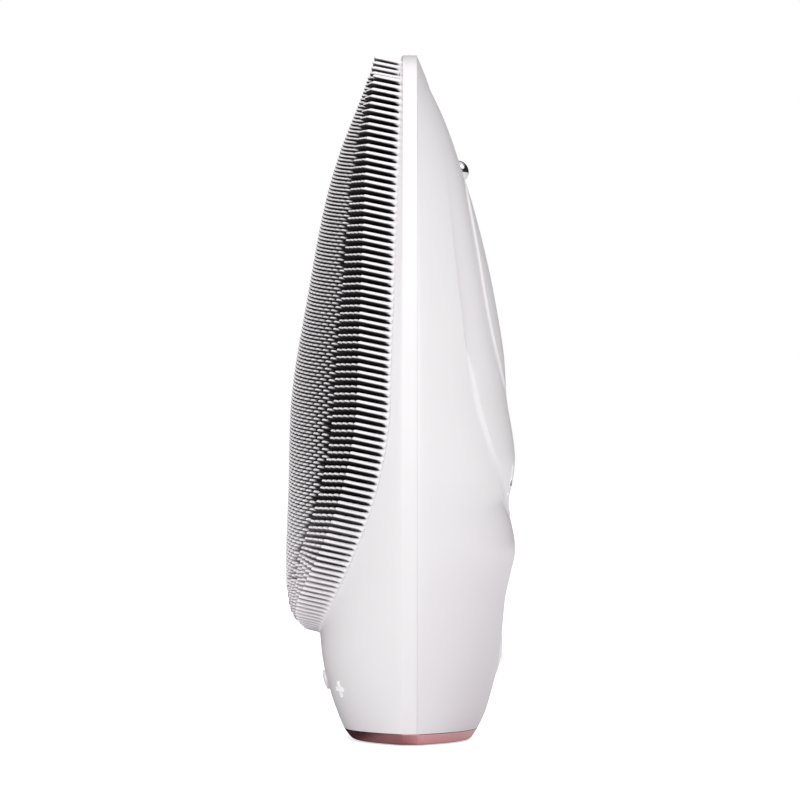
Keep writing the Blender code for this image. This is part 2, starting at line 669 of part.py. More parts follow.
def shell_seal():
    """A sealing cord that lies in the seam, round the cavity, with its ends at the base."""
    count = 36
    low, high = math.radians(-58), math.radians(90)
    right = []
    for i in range(count):
        turn = low + (high - low) * i / count
        reach = CAVITY_UP if turn >= 0 else CAVITY_DOWN
        x = (CAVITY_X - 1.5 * MM) * math.cos(turn) ** (2 / 3)
        z = CAVITY_MID_Z + (reach - 2.8 * MM) * math.copysign(abs(math.sin(turn)) ** (2 / 3), math.sin(turn))
        right.append((x, SEAM_Y, z))
    top = [(0, SEAM_Y, CAVITY_MID_Z + CAVITY_UP - 2.8 * MM)]
    left = [(-x, y, z) for x, y, z in reversed(right)]
    cord("shell_seal", right + top + left, 0.7 * MM, "seal")


def leads():
    motor_stops = [(2 * MM, MOTOR_Y, 62 * MM), (2 * MM, MOTOR_Y, 60 * MM), (2 * MM, 9.4 * MM, 56 * MM),
                   (2 * MM, REAR_BOARD_Y - 0.5 * MM, 52.4 * MM)]
    cord("motor_lead", smooth_route(motor_stops, 4), 0.5 * MM, "wire_red")
    cell_stops = [(8 * MM, 4.5 * MM, 56.4 * MM), (8 * MM, 5.2 * MM, 59 * MM), (8 * MM, 8.6 * MM, 58 * MM),
                  (8 * MM, REAR_BOARD_Y - 0.5 * MM, 52.4 * MM)]
    cord("battery_lead", smooth_route(cell_stops, 4), 0.5 * MM, "wire_red")
    link_stops = [(16.4 * MM, -6 * MM, 18 * MM), (18.4 * MM, -4 * MM, 18 * MM), (18.6 * MM, 3 * MM, 18 * MM),
                  (13.4 * MM, REAR_BOARD_Y - 0.5 * MM, 18 * MM)]
    cord("board_link", smooth_route(link_stops, 4), 0.5 * MM, "black")


def build():
    front = front_shell()
    back = back_shell()
    brush_pad()
    base_cap()
    base_fittings()
    for label, spec in KEYS.items():
        make_key(label, spec, front if spec["side"] == "front" else back)
    inner_frame()
    boards()
    for side in (-1, 1):
        indicator(back, side)
    motor()
    massage_ball(back)
    shell_seal()
    leads()


clear_scene()
PARTS = new_collection("facial_cleansing_brush")
CUTTERS = new_collection("cutters")
build()
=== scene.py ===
# %% [markdown]
# # A facial cleansing brush
# This lesson builds the looks of a brush whose working parts are already designed. The design gives
# every part's place and size. Here the outer skins are made again with fine meshes, the silicone
# bristles are planted one by one, and every piece gets a procedural material.
#
# The frame comes first: it holds the working parts, and they never move.

# %% Load the frame
import json
import math

import bpy
import bmesh
import numpy as np
from mathutils import Matrix, Vector


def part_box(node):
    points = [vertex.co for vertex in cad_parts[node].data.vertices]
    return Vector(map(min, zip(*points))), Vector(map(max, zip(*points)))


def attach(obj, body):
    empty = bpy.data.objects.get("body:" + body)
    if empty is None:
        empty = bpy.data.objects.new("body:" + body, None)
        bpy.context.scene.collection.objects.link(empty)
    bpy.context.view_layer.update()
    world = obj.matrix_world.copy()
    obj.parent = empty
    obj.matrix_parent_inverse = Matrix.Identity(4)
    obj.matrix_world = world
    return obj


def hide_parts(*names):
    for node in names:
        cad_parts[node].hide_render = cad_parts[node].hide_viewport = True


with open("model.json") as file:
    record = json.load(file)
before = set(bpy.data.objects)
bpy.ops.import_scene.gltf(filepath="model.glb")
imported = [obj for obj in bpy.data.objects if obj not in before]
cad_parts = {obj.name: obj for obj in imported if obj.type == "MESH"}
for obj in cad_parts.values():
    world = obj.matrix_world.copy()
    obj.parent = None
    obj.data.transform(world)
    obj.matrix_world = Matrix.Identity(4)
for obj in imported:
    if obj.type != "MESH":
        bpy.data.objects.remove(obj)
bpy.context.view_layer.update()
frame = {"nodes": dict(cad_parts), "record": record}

MM = 0.001

# %% [markdown]
# ## The body's form
# Seen from the front the body is an arch that flares into a narrower foot. Seen from the side it is a
# slim drop. Both are short lists of heights and depths, with a smooth curve through them, so that a
# change of one number moves a whole region. All lengths in these formulas are millimetres.

# %% Profiles of the body
shell_low, shell_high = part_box("front_shell")

WIDEST_Z, WIDEST_X = 62.0, shell_high.x / MM
TOP_Z, TOP_SQUARENESS = 125.45, 3.2
BASE_X, FLARE = 23.2, 2.3
FRONT_DEPTH = [(0, 10.7), (2, 12.2), (9, 14.8), (16, 16.3), (30, 17.0), (46, 16.5), (62, 15.9),
               (80, 13.0), (99, 9.3), (117, 3.6), (126, 1.4)]
BACK_DEPTH = [(0, 11.2), (2, 12.5), (5, 13.9), (9, 15.1), (14, 16.3), (20, 17.0), (26, 17.6), (30.5, 18.6),
              (34.5, 19.4), (39, 18.9), (43.5, 18.2), (47.5, 19.0), (51.5, 19.35), (56, 18.9), (62, 17.9),
              (70, 17.35), (76, 16.5), (86, 14.6), (97, 11.9), (106, 9.15), (114, 6.3), (121, 3.15),
              (125.4, 1.25)]
FACET_FRONT_Y, SEAM_Y = -1.3, 1.2
SECTION_FULLNESS = 2.5


def ease(low, high, value):
    """0 below low, 1 above high, and a soft step between them. low may be the larger one."""
    t = min(max((value - low) / (high - low), 0.0), 1.0)
    return t * t * (3 - 2 * t)


def through(stations, at):
    """A smooth curve through (place, value) stations."""
    at = min(max(at, stations[0][0]), stations[-1][0])
    last = len(stations) - 2
    i = min(max(k for k in range(len(stations)) if stations[k][0] <= at), last)
    (z0, d0), (z1, d1) = stations[i], stations[i + 1]
    before, after = stations[max(i - 1, 0)], stations[min(i + 2, last + 1)]
    slope0 = (d1 - before[1]) / (z1 - before[0])
    slope1 = (after[1] - d0) / (after[0] - z0)
    step = z1 - z0
    t = (at - z0) / step
    return ((2 * t ** 3 - 3 * t ** 2 + 1) * d0 + (t ** 3 - 2 * t ** 2 + t) * step * slope0
            + (3 * t ** 2 - 2 * t ** 3) * d1 + (t ** 3 - t ** 2) * step * slope1)


def half_width(z):
    if z >= WIDEST_Z:
        rise = min((z - WIDEST_Z) / (TOP_Z - WIDEST_Z), 1.0)
        return WIDEST_X * (1 - rise ** TOP_SQUARENESS) ** (1 / TOP_SQUARENESS)
    fall = 1 - max(z, 0) / WIDEST_Z
    return WIDEST_X - (WIDEST_X - BASE_X) * fall ** FLARE


def fullness(x, z):
    """1 on the centre line, 0 at the side. Low down it meets the flat side band in a soft round."""
    plain = 1 - min(abs(x) / half_width(z), 1.0) ** SECTION_FULLNESS
    roundness = 0.05 * ease(112, 66, z)
    return math.sqrt(plain * plain + 2 * roundness * plain) - roundness * plain


def front_face(x, z):
    return FACET_FRONT_Y - (through(FRONT_DEPTH, z) + FACET_FRONT_Y) * fullness(x, z)


def plain_back_face(x, z):
    return SEAM_Y + (through(BACK_DEPTH, z) - SEAM_Y) * fullness(x, z)


print("body is", round(2 * WIDEST_X, 1), "mm wide at a height of", WIDEST_Z, "mm")

# %% [markdown]
# ## Petals on the back
# The back carries a leaf: its edge is a crease. In the upper half the side panels stand over the leaf, in
# the lower half the leaf stands over the handle, so the surface seems to twist. A second, slimmer leaf
# forms a raised spine. Each edge is a curve of height against half width, and the relief is a height
# that is subtracted from the plain back, so the middle keeps its outline.

# %% Relief of the back
LEAF_EDGE = [(41.0, 0.0), (43.0, 7.0), (46.5, 14.0), (52, 19.8), (58, 22.6), (64.5, 24.4), (72, 26.3),
             (81, 26.6), (89, 26.2), (96, 25.0), (104, 22.4), (111, 18.4), (116, 15.0), (120, 10.6),
             (123.5, 4.0), (124.5, 0.0)]
SPINE_EDGE = [(62.5, 0.0), (65, 7.0), (69.5, 12.4), (74, 14.7), (81, 15.2), (88, 14.2), (95, 12.0),
              (99.5, 9.0), (102.5, 5.0), (104.0, 0.0)]
EDGE_BLUR = 0.3
DEEP_UPPER, DEEP_LOWER, DEEP_SPINE = 1.5, 0.65, 0.4


def edge_width(edge, z):
    if z <= edge[0][0] or z >= edge[-1][0]:
        return -4.0
    return max(through(edge, z), 0.0)


def back_relief(x, z):
    """How far the back lies below its plain form, in mm."""
    upper = ease(66, 84, z) * ease(125, 117, z)
    lower = ease(78, 62, z)
    inside = edge_width(LEAF_EDGE, z) - abs(x)
    step = ease(-EDGE_BLUR, EDGE_BLUR, inside)
    drop = DEEP_UPPER * upper * step * math.exp(-max(inside, 0) / 5.5)
    drop += DEEP_LOWER * lower * (1 - step) * math.exp(-max(-inside, 0) / 7.0) * ease(37, 42.5, z)
    beside = abs(x) - edge_width(SPINE_EDGE, z)
    groove = DEEP_SPINE * ease(-EDGE_BLUR, EDGE_BLUR, beside) * math.exp(-max(beside, 0) / 4.5)
    drop += groove * ease(60, 68, z) * ease(106, 98, z)
    return drop


def back_shade(x, z):
    """Painted shade, 0 to 1: the light a point of the back loses to a crease, and a darker lower flank."""
    upper = ease(66, 82, z)
    inside = edge_width(LEAF_EDGE, z) - abs(x)
    beside = abs(x) - edge_width(SPINE_EDGE, z)
    low_flank = ease(60, 2, z) * ease(0, -1.0, inside) * (0.3 + 0.7 * ease(0, 1, fullness(x, z)))
    leaf = upper * ease(-0.05, 0.25, inside) * (0.8 * math.exp(-max(inside, 0) / 1.3) +
                                              0.2 * math.exp(-max(inside, 0) / 4.0))
    spine = 0.45 * ease(0, 0.3, beside) * math.exp(-max(beside, 0) / 3.0)
    spine = spine * ease(63, 72, z) * ease(104, 94, z)
    return min(leaf + spine * ease(-0.5, 0.5, inside) + low_flank, 1.0)


print("leaf is", 2 * max(w for _, w in LEAF_EDGE), "mm wide")

# %% [markdown]
# ## A dimple for the ball
# The massage ball lies in a shallow dimple, so a soft bell curve round its centre joins the relief. The
# back never comes closer to the seam than a thin wall, or its outside would cross its own inside.

# %% The back's face
BALL_LOW, BALL_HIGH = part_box("massage_ball")
BALL_AT = (BALL_LOW + BALL_HIGH) / 2
BALL_R = (BALL_HIGH.x - BALL_LOW.x) / 2
DIMPLE_DEEP, DIMPLE_WIDE = 0.45, 3.4
THINNEST = 0.06


def back_face(x, z):
    drop = back_relief(x, z)
    from_ball = math.hypot(x, z - BALL_AT.z / MM)
    drop += DIMPLE_DEEP * math.exp(-(from_ball / DIMPLE_WIDE) ** 2)
    return max(plain_back_face(x, z) - drop * ease(0, 0.2, fullness(x, z)), SEAM_Y + THINNEST)


print("back's depth at the ball:", round(back_face(0, BALL_AT.z / MM), 2), "mm")

# %% [markdown]
# ## Fine shells
# A shell is a loft between two sheets of points that share rows and columns: its outside, and the same
# surface drawn in by the wall's thickness, but never past the seam. Rows crowd together towards the
# arch, and columns towards the side band, where the form turns fastest.

# %% Loft helpers
SHARP_EDGE = 30


def rows_between(low, middle, high, below, above):
    lower = [low + (middle - low) * i / below for i in range(below)]
    upper = [middle + (high - middle) * math.sin(0.5 * math.pi * i / above) for i in range(above + 1)]
    return lower + upper


def across(width, columns):
    """Column places that crowd towards both sides."""
    shares = [math.sin(0.5 * math.pi * (2 * i / columns - 1)) for i in range(columns + 1)]
    return lambda z: [width(z) * share for share in shares]


def sheet(heights, places, depth):
    """Rows of points (in metres) on the surface y = depth(x, z)."""
    return np.array([[(x * MM, depth(x, z) * MM, z * MM) for x in places(z)] for z in heights])


def loft(name, near, far):
    """A closed mesh between two sheets of the same size."""
    rows, columns, _ = near.shape
    count = rows * columns
    verts = np.concatenate([near.reshape(-1, 3), far.reshape(-1, 3)])
    faces = []
    for r in range(rows - 1):
        for c in range(columns - 1):
            a = r * columns + c
            faces.append((a, a + 1, a + columns + 1, a + columns))
            faces.append((count + a, count + a + columns, count + a + columns + 1, count + a + 1))
    for r in range(rows - 1):
        for c, flip in ((0, True), (columns - 1, False)):
            a = r * columns + c
            quad = (a, a + columns, count + a + columns, count + a)
            faces.append(quad[::-1] if flip else quad)
    for r, flip in ((0, False), (rows - 1, True)):
        for c in range(columns - 1):
            a = r * columns + c
            quad = (a, a + 1, count + a + 1, count + a)
            faces.append(quad[::-1] if flip else quad)
    mesh = bpy.data.meshes.new(name)
    mesh.from_pydata(verts.tolist(), [], faces)
    bm = bmesh.new()
    bm.from_mesh(mesh)
    bmesh.ops.recalc_face_normals(bm, faces=bm.faces)
    bm.to_mesh(mesh)
    bm.free()
    return new_piece(name, mesh)


def new_piece(name, mesh, sharp=SHARP_EDGE):
    mesh.shade_smooth()
    mesh.set_sharp_from_angle(angle=math.radians(sharp))
    piece = bpy.data.objects.new(name, mesh)
    bpy.context.scene.collection.objects.link(piece)
    return piece


print("rows crowd upwards:", [round(z) for z in rows_between(0, 50, 100, 4, 4)])

# %% [markdown]
# ## Cutting and painting
# Holes are cut with a Boolean and applied at once. Printing how much was removed shows at once when a
# tool missed. Painting stores a value on every point, which a material can read as an attribute.

# %% Cuts and painted values
def volume(mesh):
    bm = bmesh.new()
    bm.from_mesh(mesh)
    amount = bm.calc_volume(signed=True) / MM ** 3
    bm.free()
    return amount


def cut(piece, tool):
    """Cut a closed tool out of a piece, apply it, and drop the tool."""
    mod = piece.modifiers.new("cut", "BOOLEAN")
    mod.operation = "DIFFERENCE"
    mod.solver = "EXACT"
    mod.object = tool
    before = volume(piece.data)
    graph = bpy.context.evaluated_depsgraph_get()
    mesh = bpy.data.meshes.new_from_object(piece.evaluated_get(graph))
    print(f"cut from {piece.name}: {before - volume(mesh):.1f} of {before:.0f} cubic mm")
    piece.modifiers.clear()
    piece.data = mesh
    mesh.set_sharp_from_angle(angle=math.radians(SHARP_EDGE))
    bpy.data.objects.remove(tool, do_unlink=True)


def paint(piece, label, value):
    """Store value(x, z), with x and z in mm, on every point of a piece."""
    places = np.empty(3 * len(piece.data.vertices))
    piece.data.vertices.foreach_get("co", places)
    values = [value(x / MM, z / MM) for x, _, z in places.reshape(-1, 3)]
    piece.data.attributes.new(label, "FLOAT", "POINT").data.foreach_set("value", values)


print("the design's front shell:", round(volume(frame["nodes"]["front_shell"].data)), "cubic mm")

# %% [markdown]
# ## Prisms on a curved face
# Key holes and marks are flat outlines that stand square to the curved body. A frame on the surface turns
# the outline, and a prism gives it depth.

# %% Outlines and prisms
SLOPE_STEP = 0.2


def surface_frame(x, z, face, outward):
    """A frame on the surface, in metres, whose Z points straight out."""
    step = SLOPE_STEP
    slope_x = (face(x + step, z) - face(x - step, z)) / (2 * step)
    slope_z = (face(x, z + step) - face(x, z - step)) / (2 * step)
    normal = outward * Vector((-slope_x, 1, -slope_z)).normalized()
    side = Vector((0, 0, 1)).cross(normal).normalized()
    turn = Matrix((side, normal.cross(side), normal)).transposed()
    return Matrix.Translation(Vector((x, face(x, z), z)) * MM) @ turn.to_4x4()


def prism(name, outline, low, high, matrix):
    """A closed prism on an outline of (x, y) points in mm, placed by a matrix."""
    bm = bmesh.new()
    floor = [bm.verts.new((x * MM, y * MM, low * MM)) for x, y in outline]
    bm.faces.new(floor)
    grown = bmesh.ops.extrude_face_region(bm, geom=bm.faces[:])
    lifted = [v for v in grown["geom"] if isinstance(v, bmesh.types.BMVert)]
    bmesh.ops.translate(bm, vec=(0, 0, (high - low) * MM), verts=lifted)
    bmesh.ops.recalc_face_normals(bm, faces=bm.faces)
    bmesh.ops.transform(bm, matrix=matrix, verts=bm.verts)
    mesh = bpy.data.meshes.new(name)
    bm.to_mesh(mesh)
    bm.free()
    return new_piece(name, mesh)


def circle(radius, count=48):
    return [(radius * math.cos(2 * math.pi * i / count), radius * math.sin(2 * math.pi * i / count))
            for i in range(count)]


def cross(long, wide):
    """The outline of a plus sign."""
    a, b = long / 2, wide / 2
    return [(a, -b), (a, b), (b, b), (b, a), (-b, a), (-b, b),
            (-a, b), (-a, -b), (-b, -b), (-b, -a), (b, -a), (b, -b)]


def bar(long, wide):
    """The outline of a minus sign."""
    a, b = long / 2, wide / 2
    return [(-a, -b), (a, -b), (a, b), (-a, b)]


print("corners: plus", len(cross(3, 1)), "minus", len(bar(3, 1)), "round", len(circle(1)))

# %% [markdown]
# ## The casings
# The body is two moulded shells, closed on each other along a seam that runs round the side band. Each
# has a thin wall over the works and a solid rim at the joint. The plus and minus keys are the signs
# themselves, so their holes have the same outline with a little clearance. The mode key and the power key
# are round. The columns of the back follow the creases, so that every crease is one clean line of edges.

# %% Front and back casings
SHELL_BOTTOM_Z = shell_low.z / MM - 0.14
SHELL_TOP_Z = TOP_Z - 0.25
SEAM_GAP = 0.015
WALL = 1.6
BAR_LONG, BAR_WIDE, KEY_CLEARANCE = 3.1, 0.8, 0.1
KEY_X, KEY_Z = 13.4, 9.6
MODE_Z, MODE_R = 10.7, 1.8
POWER_Z, POWER_R = 15.3, 4.0
LIGHT_X, LIGHT_Z = 9.0, 47.0
LIGHT_HOLE_R = 0.55
TOOL_LOW, TOOL_HIGH = -4, 3
GRID_ROWS = (95, 125)
FRONT_COLUMNS = 120
CREASE_COLUMNS = (24, 26, 28)

casing_rows = rows_between(SHELL_BOTTOM_Z, WIDEST_Z, SHELL_TOP_Z, *GRID_ROWS)


def joint_rim(x, z):
    """1 on the solid rim where the two casings meet, 0 over the hollow."""
    return max(ease(3.0, 1.8, half_width(z) - abs(x)), ease(3.0, 1.6, SHELL_TOP_Z - z))


def front_inner(x, z):
    rim = joint_rim(x, z)
    hollow = min(front_face(x, z) + WALL, SEAM_Y - SEAM_GAP)
    return hollow + (SEAM_Y - SEAM_GAP - hollow) * rim


def back_inner(x, z):
    rim = joint_rim(x, z)
    hollow = max(plain_back_face(x, z) - WALL, SEAM_Y + SEAM_GAP)
    return hollow + (SEAM_Y + SEAM_GAP - hollow) * rim


def creased(z):
    """Columns of the back: one runs along the spine's edge and one along the leaf's edge."""
    beyond = max(LEAF_EDGE[0][0] - z, z - LEAF_EDGE[-1][0], 0)
    leaf = max(edge_width(LEAF_EDGE, z), 0.5 + min(0.4 * beyond, 9))
    past = max(SPINE_EDGE[0][0] - z, z - SPINE_EDGE[-1][0], 0)
    spine = min(max(edge_width(SPINE_EDGE, z), 0.3 + 0.5 * past), 0.62 * leaf)
    stops = (0.0, spine, leaf, half_width(z))
    half = [0.0]
    for (start, stop), count in zip(zip(stops, stops[1:]), CREASE_COLUMNS):
        shares = [(1 - math.cos(math.pi * i / count)) for i in range(1, count + 1)]
        half += [start + (stop - start) * share / 2 for share in shares]
    return [-x for x in reversed(half[1:])] + half


def cut_hole(casing, outline, x, z, face, outward):
    """A hole through the wall, square to the face."""
    cut(casing, prism("tool", outline, TOOL_LOW, TOOL_HIGH, surface_frame(x, z, face, outward)))


def make_front_casing():
    outside = sheet(casing_rows, across(half_width, FRONT_COLUMNS), front_face)
    inside = sheet(casing_rows, across(half_width, FRONT_COLUMNS), front_inner)
    casing = loft("front_casing", outside, inside)
    long, wide = BAR_LONG + 2 * KEY_CLEARANCE, BAR_WIDE + 2 * KEY_CLEARANCE
    cut_hole(casing, cross(long, wide), KEY_X, KEY_Z, front_face, -1)
    cut_hole(casing, bar(long, wide), -KEY_X, KEY_Z, front_face, -1)
    cut_hole(casing, circle(MODE_R + KEY_CLEARANCE), 0, MODE_Z, front_face, -1)
    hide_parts("front_shell")
    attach(casing, "casing")
    return casing


def make_back_casing():
    outside = sheet(casing_rows, creased, back_face)
    inside = sheet(casing_rows, creased, back_inner)
    casing = loft("back_casing", inside, outside)
    cut_hole(casing, circle(POWER_R + KEY_CLEARANCE), 0, POWER_Z, plain_back_face, 1)
    for side in (-1, 1):
        cut_hole(casing, circle(LIGHT_HOLE_R, 24), side * LIGHT_X, LIGHT_Z, plain_back_face, 1)
    # Painted shade, stored on the back for its colour: beside the creases and on the lower flank.
    paint(casing, "shade", back_shade)
    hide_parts("back_shell")
    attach(casing, "casing")
    return casing


front_casing = make_front_casing()
back_casing = make_back_casing()
print("front casing faces:", len(front_casing.data.polygons), "back:", len(back_casing.data.polygons))

# %% [markdown]
# ## The end cap
# The foot of the body ends in an anodised cap. It repeats the body's outline and draws in a little at its
# lower edge. Four close rows of the loft make that small round, which catches a thin highlight.

# %% End cap
CAP_TOP_Z = 1.98
CAP_ROUND = 0.45
CAP_SHADOW_GAP = 0.08
SCREW_CLEARANCE, SEAL_CLEARANCE = 0.3, 0.05


def make_end_cap():
    heights = [0.0, 0.06, 0.2, CAP_ROUND, 1.0, 1.5, CAP_TOP_Z - CAP_SHADOW_GAP, CAP_TOP_Z]

    def draw_in(z):
        if z < CAP_ROUND:
            return CAP_ROUND - math.sqrt(max(CAP_ROUND ** 2 - (CAP_ROUND - z) ** 2, 0))
        return CAP_SHADOW_GAP * ease(CAP_TOP_Z - 0.09, CAP_TOP_Z, z)

    def width(z):
        return half_width(z) - draw_in(z)

    near = sheet(heights, across(width, 140), lambda x, z: front_face(x, z) + draw_in(z))
    far = sheet(heights, across(width, 140), lambda x, z: plain_back_face(x, z) - draw_in(z))
    cap = loft("end_cap", near, far)
    for node, clearance in (("contact_seal_left", SEAL_CLEARANCE), ("contact_seal_right", SEAL_CLEARANCE),
                            ("base_screw_left", SCREW_CLEARANCE), ("base_screw_right", SCREW_CLEARANCE)):
        low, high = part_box(node)
        middle = Matrix.Translation(((low.x + high.x) / 2, (low.y + high.y) / 2, 0))
        cut(cap, prism("tool", circle((high.x - low.x) / 2 / MM + clearance), -1, 1.6, middle))
    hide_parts("base_cap")
    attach(cap, "casing")
    return cap


end_cap = make_end_cap()
print("end cap faces:", len(end_cap.data.polygons))

# %% [markdown]
# ## The silicone pad
# The pad is one moulding: a thin skin let into the front casing, and thousands of bristles on it. The
# skin is a loft with a soft edge. Its outline follows the body's arch at the top and closes in a rounded
# point on the handle.

# %% Pad skin
PAD_X, PAD_TOP, PAD_BOTTOM, PAD_POINT = 34.6, 124.2, 19.3, 1.85
SKIN_PROUD, SKIN_DEEP = 0.12, 1.2


def pad_half_width(z):
    if z >= WIDEST_Z:
        rise = min((z - WIDEST_Z) / (PAD_TOP - WIDEST_Z), 1.0)
        return PAD_X * (1 - rise ** TOP_SQUARENESS) ** (1 / TOP_SQUARENESS)
    fall = min((WIDEST_Z - z) / (WIDEST_Z - PAD_BOTTOM), 1.0)
    return PAD_X * (1 - fall ** PAD_POINT) ** (1 / PAD_POINT)


def pad_rim(x, z):
    """1 on the outermost band of the skin, 0 further in."""
    shoulder = ease(0, 0.4, z - 121.6) * ease(10.0, 10.6, abs(x))
    return max(ease(0.75, 0.35, pad_half_width(z) - abs(x)), shoulder)


def make_pad_skin():
    high = WIDEST_Z + (PAD_TOP - WIDEST_Z) * 0.998
    low = WIDEST_Z - (WIDEST_Z - PAD_BOTTOM) * 0.998
    heights = rows_between(low, WIDEST_Z, high, 80, 90)

    def proud(x, z):
        return front_face(x, z) - SKIN_PROUD * ease(1.0, 0.965, abs(x) / max(pad_half_width(z), 0.1))

    def deep(x, z):
        return front_face(x, z) + SKIN_DEEP * ease(127, 116, z) + 0.3

    near = sheet(heights, across(pad_half_width, 90), proud)
    far = sheet(heights, across(pad_half_width, 90), deep)
    skin = loft("pad_skin", near, far)
    paint(skin, "rim", pad_rim)
    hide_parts("brush_pad")
    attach(skin, "casing")
    return skin


pad_skin = make_pad_skin()
print("pad skin faces:", len(pad_skin.data.polygons))

# %% [markdown]
# ## Planting the bristles
# The outer five rows repeat the pad's outline at an even pitch, each one a step further in. Along the
# sides the bristles of these rows stand level with each other. The middle is filled with columns that
# step up as they go outward, so it shows a pattern of chevrons. Four closer rows bend over the crown. A
# list of taken places, sorted into small squares, keeps two bristles from standing in the same spot.

# %% Places of the bristles
PITCH = 1.31
LINED_RINGS, LINED_STEP = 5, 1.28
COLUMN_STEP, COLUMN_SHIFT = 1.45, 0.43
CLOSEST = 0.93
CROWN_ROWS, CROWN_STEP, CROWN_BEND = 4, 0.95, 0.06
CROWN_HALF, CROWN_GROWTH, CROWN_PITCH = 10.8, 3.0, 1.2
CROWN_DEEP = 3.2
SHOULDER_Z, SHOULDER_STEP = 120.9, 0.62
ROW_INSET = 0.4


def right_edge():
    """Places of the outermost row's right half, from the shoulder down to the chin."""
    shoulder = [SHOULDER_Z - k * SHOULDER_STEP for k in range(3)]
    places = [(pad_half_width(z) - ROW_INSET, z) for z in shoulder]
    while places[-1][1] > WIDEST_Z + PITCH:
        z = places[-1][1] - PITCH
        places.append((pad_half_width(z) - ROW_INSET, z))
    fine = [places[-1]]
    for i in range(1, 1500):
        turn = 0.5 * math.pi * i / 1500
        z = WIDEST_Z - (WIDEST_Z - PAD_BOTTOM - ROW_INSET) * math.sin(turn) ** (2 / PAD_POINT)
        fine.append(((PAD_X - ROW_INSET) * math.cos(turn) ** (2 / PAD_POINT), z))
        if math.dist(fine[-1], places[-1]) >= PITCH:
            places.append(fine[-1])
    return np.array(places)


def pad_outline():
    """The outermost row, all round, and its inward normals."""
    right = right_edge()
    along = np.gradient(right, axis=0)
    along /= np.linalg.norm(along, axis=1)[:, None]
    inward = np.column_stack([along[:, 1], -along[:, 0]])
    mirror = np.array([-1, 1])
    return np.vstack([right, right * mirror]), np.vstack([inward, inward * mirror])


def plant():
    """Every bristle as (x, z, ring): ring 0 is the outermost row, -1 the middle."""
    taken = {}
    planted = []

    def free(x, z):
        cell = (int(x // CLOSEST), int(z // CLOSEST))
        near = [other for i in (-1, 0, 1) for j in (-1, 0, 1)
                for other in taken.get((cell[0] + i, cell[1] + j), ())]
        return all(math.hypot(other[0] - x, other[1] - z) >= CLOSEST for other in near)

    def put(x, z, ring):
        if free(x, z):
            taken.setdefault((int(x // CLOSEST), int(z // CLOSEST)), []).append((x, z))
            planted.append((x, z, ring))

    places, inward = pad_outline()
    for row in range(CROWN_ROWS):
        top = PAD_TOP + 0.1 - row * CROWN_STEP
        count = int((CROWN_HALF + CROWN_GROWTH * row) / CROWN_PITCH)
        for c in range(-count, count + 1):
            x = c * CROWN_PITCH
            put(x, top - CROWN_BEND * abs(x), 0)
    for ring in range(LINED_RINGS):
        inset = ring * LINED_STEP
        for (x, z), (nx, nz) in zip(places, inward):
            level = 1.0 if z > WIDEST_Z else ease(0.9, 0.5, abs(nz))
            level_x = math.copysign(min(1 / max(abs(nx), 0.1), 2.0), nx)
            put(x + inset * (nx + (level_x - nx) * level), z + inset * nz * (1 - level), ring)
    columns = int(PAD_X / COLUMN_STEP)
    for c in sorted(range(-columns, columns + 1), key=abs):
        for r in range(10, 110):
            x, z = c * COLUMN_STEP, (r + COLUMN_SHIFT * abs(c)) * PITCH
            below_crown = PAD_BOTTOM + 2 < z < PAD_TOP - CROWN_DEEP - CROWN_BEND * abs(x)
            within = below_crown and abs(x) < pad_half_width(z)
            if within and np.min(np.hypot(*(places - (x, z)).T)) > (LINED_RINGS - 0.15) * LINED_STEP:
                put(x, z, -1)
    return planted


planted = plant()
print("bristles:", len(planted))

# %% [markdown]
# ## One bristle, copied
# A bristle is a slightly tapered rod with a round tip. All lean the same way, square to the pad's middle
# plane, so they leave the mould in one pull. Their verts are computed together: ring by ring of the rod,
# for all bristles at once. An attribute called rise runs from 0 at the root to 1 at the tip, for the
# material, and one called rim marks the outer row.

# %% Bristle meshes
BRISTLE_LONG = 6.15
MIDDLE_EXTRA = 0.15
BRISTLE_TILT = math.radians(12)
ROOT_SUNK = 0.25
LOW_ZONE, HIGH_ZONE = 58, 86
ROOT_R, MIDDLE_R = 0.365, 0.36
SIDES = 8
ROD = [(0.0, 1.8), (0.06, 1.5), (0.13, 1.2), (0.24, 1.04), (0.5, 0.97), (0.93, 0.88), (0.972, 0.74),
       (0.992, 0.46), (1.0, 0.14)]


def bristle_length(x, z, ring):
    """Full length in the middle, shorter at the top, and rounding off at the chin."""
    length = BRISTLE_LONG + (MIDDLE_EXTRA if ring < 0 else 0.0)
    length *= 1 - 0.16 * ease(106, 125, z)
    chin = 1 - math.exp(-max(z - PAD_BOTTOM + 0.5, 0.15) / 1.55)
    return length * chin


